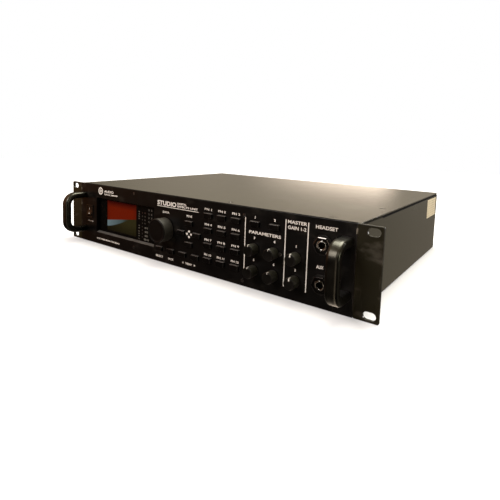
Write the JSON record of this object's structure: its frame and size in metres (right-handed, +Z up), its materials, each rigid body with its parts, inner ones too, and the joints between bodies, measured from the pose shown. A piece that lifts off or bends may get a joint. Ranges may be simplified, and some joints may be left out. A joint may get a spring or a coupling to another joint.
{
  "type": "rack effects unit",
  "caption": "Two-unit rack audio processor with bolt-on ears, front handles, recessed screen, large value wheel, push buttons, small knobs and jack sockets.",
  "frame": {"origin": "centre of the bounding box's bottom face: z = 0 is the underside the unit stands on", "axes": "+X to the right seen from the front, along the rack width; +Y from the front towards the rear; +Z up"},
  "size_m": [0.4826, 0.3804, 0.0881],
  "materials": {
    "case_paint": "fine satin powder coat",
    "panel_paint": "satin black with a faint brown cast",
    "ear_paint": "satin black, worn to bare metal along the inner edge",
    "handle_paint": "smooth semi-gloss black",
    "display_lens": "clear glossy plastic",
    "display_screen": "lit backlit panel, orange above and olive below",
    "switch_plastic": "moulded, semi-gloss",
    "knob_plastic": "soft-touch matt black",
    "button_plastic": "matt black",
    "socket_plastic": "moulded, matt",
    "shaft_steel": "turned",
    "jack_metal": "nickel plated",
    "supply_case": "zinc plated",
    "circuit_board": "solder mask over glass fibre",
    "print_white": "screen-printed ink, flat",
    "screw_black": "black oxide",
    "label_paper": "cream printed film"
  },
  "bodies": {
    "chassis": {"chassis_tray": "case_paint", "top_cover": "case_paint", "rear_panel": "case_paint", "front_panel": "panel_paint", "ear_bracket_left": "ear_paint", "ear_bracket_right": "ear_paint", "handle_left": "handle_paint", "handle_right": "handle_paint", "display_lens": "display_lens", "display_module": "display_screen", "power_switch_frame": "switch_plastic", "control_board": "circuit_board", "headphone_jack": "jack_metal", "instrument_input_jack": "jack_metal", "power_inlet": "socket_plastic", "rear_midi_block": "socket_plastic", "rear_jack_block": "socket_plastic", "rear_xlr_block": "socket_plastic", "fan_frame": "socket_plastic", "main_board": "circuit_board", "power_supply": "supply_case"},
    "power_rocker": {"power_rocker": "switch_plastic"},
    "fan_rotor": {"fan_rotor": "socket_plastic"},
    "value_wheel": {"value_wheel": "knob_plastic", "value_shaft": "shaft_steel"},
    "quick_knob_a": {"quick_knob_a": "knob_plastic", "quick_shaft_a": "shaft_steel"},
    "quick_knob_b": {"quick_knob_b": "knob_plastic", "quick_shaft_b": "shaft_steel"},
    "output_knob_1": {"output_knob_1": "knob_plastic", "output_shaft_1": "shaft_steel"},
    "quick_knob_c": {"quick_knob_c": "knob_plastic", "quick_shaft_c": "shaft_steel"},
    "quick_knob_d": {"quick_knob_d": "knob_plastic", "quick_shaft_d": "shaft_steel"},
    "output_knob_2": {"output_knob_2": "knob_plastic", "output_shaft_2": "shaft_steel"},
    "function_button_1": {"function_button_1": "button_plastic"},
    "function_button_2": {"function_button_2": "button_plastic"},
    "function_button_3": {"function_button_3": "button_plastic"},
    "function_button_4": {"function_button_4": "button_plastic"},
    "function_button_5": {"function_button_5": "button_plastic"},
    "function_button_6": {"function_button_6": "button_plastic"},
    "function_button_7": {"function_button_7": "button_plastic"},
    "function_button_8": {"function_button_8": "button_plastic"},
    "function_button_9": {"function_button_9": "button_plastic"},
    "function_button_10": {"function_button_10": "button_plastic"},
    "function_button_11": {"function_button_11": "button_plastic"},
    "function_button_12": {"function_button_12": "button_plastic"},
    "nav_up_button": {"nav_up_button": "button_plastic"},
    "nav_down_button": {"nav_down_button": "button_plastic"},
    "nav_left_button": {"nav_left_button": "button_plastic"},
    "nav_right_button": {"nav_right_button": "button_plastic"},
    "enter_button": {"enter_button": "button_plastic"},
    "exit_button": {"exit_button": "button_plastic"},
    "page_left_button": {"page_left_button": "button_plastic"},
    "page_right_button": {"page_right_button": "button_plastic"},
    "quick_button_x": {"quick_button_x": "button_plastic"},
    "quick_button_y": {"quick_button_y": "button_plastic"}
  },
  "joints": [
    {"name": "power_rocker_tilt", "type": "hinge", "parent": "chassis", "child": "power_rocker", "pos_m": [-0.1955, -0.15225, 0.0463], "axis": [1, 0, 0], "range_deg": [0, 16]},
    {"name": "fan_spin", "type": "hinge", "parent": "chassis", "child": "fan_rotor", "pos_m": [-0.122, 0.17765, 0.043], "axis": [0, 1, 0], "continuous": true},
    {"name": "value_wheel_turn", "type": "hinge", "parent": "chassis", "child": "value_wheel", "pos_m": [-0.03, -0.15625, 0.0444], "axis": [0, 1, 0], "continuous": true},
    {"name": "quick_knob_a_turn", "type": "hinge", "parent": "chassis", "child": "quick_knob_a", "pos_m": [0.1065, -0.15625, 0.0444], "axis": [0, 1, 0], "continuous": true},
    {"name": "quick_knob_b_turn", "type": "hinge", "parent": "chassis", "child": "quick_knob_b", "pos_m": [0.1315, -0.15625, 0.0444], "axis": [0, 1, 0], "continuous": true},
    {"name": "output_knob_1_turn", "type": "hinge", "parent": "chassis", "child": "output_knob_1", "pos_m": [0.1567, -0.15625, 0.0444], "axis": [0, 1, 0], "range_deg": [-150, 150]},
    {"name": "quick_knob_c_turn", "type": "hinge", "parent": "chassis", "child": "quick_knob_c", "pos_m": [0.1065, -0.15625, 0.0204], "axis": [0, 1, 0], "continuous": true},
    {"name": "quick_knob_d_turn", "type": "hinge", "parent": "chassis", "child": "quick_knob_d", "pos_m": [0.1315, -0.15625, 0.0204], "axis": [0, 1, 0], "continuous": true},
    {"name": "output_knob_2_turn", "type": "hinge", "parent": "chassis", "child": "output_knob_2", "pos_m": [0.1567, -0.15625, 0.0204], "axis": [0, 1, 0], "range_deg": [-150, 150]},
    {"name": "function_button_1_press", "type": "slide", "parent": "chassis", "child": "function_button_1", "axis": [0, 1, 0], "range_m": [0, 0.0008], "stiffness_N_per_m": 1500},
    {"name": "function_button_2_press", "type": "slide", "parent": "chassis", "child": "function_button_2", "axis": [0, 1, 0], "range_m": [0, 0.0008], "stiffness_N_per_m": 1500},
    {"name": "function_button_3_press", "type": "slide", "parent": "chassis", "child": "function_button_3", "axis": [0, 1, 0], "range_m": [0, 0.0008], "stiffness_N_per_m": 1500},
    {"name": "function_button_4_press", "type": "slide", "parent": "chassis", "child": "function_button_4", "axis": [0, 1, 0], "range_m": [0, 0.0008], "stiffness_N_per_m": 1500},
    {"name": "function_button_5_press", "type": "slide", "parent": "chassis", "child": "function_button_5", "axis": [0, 1, 0], "range_m": [0, 0.0008], "stiffness_N_per_m": 1500},
    {"name": "function_button_6_press", "type": "slide", "parent": "chassis", "child": "function_button_6", "axis": [0, 1, 0], "range_m": [0, 0.0008], "stiffness_N_per_m": 1500},
    {"name": "function_button_7_press", "type": "slide", "parent": "chassis", "child": "function_button_7", "axis": [0, 1, 0], "range_m": [0, 0.0008], "stiffness_N_per_m": 1500},
    {"name": "function_button_8_press", "type": "slide", "parent": "chassis", "child": "function_button_8", "axis": [0, 1, 0], "range_m": [0, 0.0008], "stiffness_N_per_m": 1500},
    {"name": "function_button_9_press", "type": "slide", "parent": "chassis", "child": "function_button_9", "axis": [0, 1, 0], "range_m": [0, 0.0008], "stiffness_N_per_m": 1500},
    {"name": "function_button_10_press", "type": "slide", "parent": "chassis", "child": "function_button_10", "axis": [0, 1, 0], "range_m": [0, 0.0008], "stiffness_N_per_m": 1500},
    {"name": "function_button_11_press", "type": "slide", "parent": "chassis", "child": "function_button_11", "axis": [0, 1, 0], "range_m": [0, 0.0008], "stiffness_N_per_m": 1500},
    {"name": "function_button_12_press", "type": "slide", "parent": "chassis", "child": "function_button_12", "axis": [0, 1, 0], "range_m": [0, 0.0008], "stiffness_N_per_m": 1500},
    {"name": "nav_up_button_press", "type": "slide", "parent": "chassis", "child": "nav_up_button", "axis": [0, 1, 0], "range_m": [0, 0.0008], "stiffness_N_per_m": 1500},
    {"name": "nav_down_button_press", "type": "slide", "parent": "chassis", "child": "nav_down_button", "axis": [0, 1, 0], "range_m": [0, 0.0008], "stiffness_N_per_m": 1500},
    {"name": "nav_left_button_press", "type": "slide", "parent": "chassis", "child": "nav_left_button", "axis": [0, 1, 0], "range_m": [0, 0.0008], "stiffness_N_per_m": 1500},
    {"name": "nav_right_button_press", "type": "slide", "parent": "chassis", "child": "nav_right_button", "axis": [0, 1, 0], "range_m": [0, 0.0008], "stiffness_N_per_m": 1500},
    {"name": "enter_button_press", "type": "slide", "parent": "chassis", "child": "enter_button", "axis": [0, 1, 0], "range_m": [0, 0.0008], "stiffness_N_per_m": 1500},
    {"name": "exit_button_press", "type": "slide", "parent": "chassis", "child": "exit_button", "axis": [0, 1, 0], "range_m": [0, 0.0008], "stiffness_N_per_m": 1500},
    {"name": "page_left_button_press", "type": "slide", "parent": "chassis", "child": "page_left_button", "axis": [0, 1, 0], "range_m": [0, 0.0008], "stiffness_N_per_m": 1500},
    {"name": "page_right_button_press", "type": "slide", "parent": "chassis", "child": "page_right_button", "axis": [0, 1, 0], "range_m": [0, 0.0008], "stiffness_N_per_m": 1500},
    {"name": "quick_button_x_press", "type": "slide", "parent": "chassis", "child": "quick_button_x", "axis": [0, 1, 0], "range_m": [0, 0.0008], "stiffness_N_per_m": 1500},
    {"name": "quick_button_y_press", "type": "slide", "parent": "chassis", "child": "quick_button_y", "axis": [0, 1, 0], "range_m": [0, 0.0008], "stiffness_N_per_m": 1500}
  ]
}
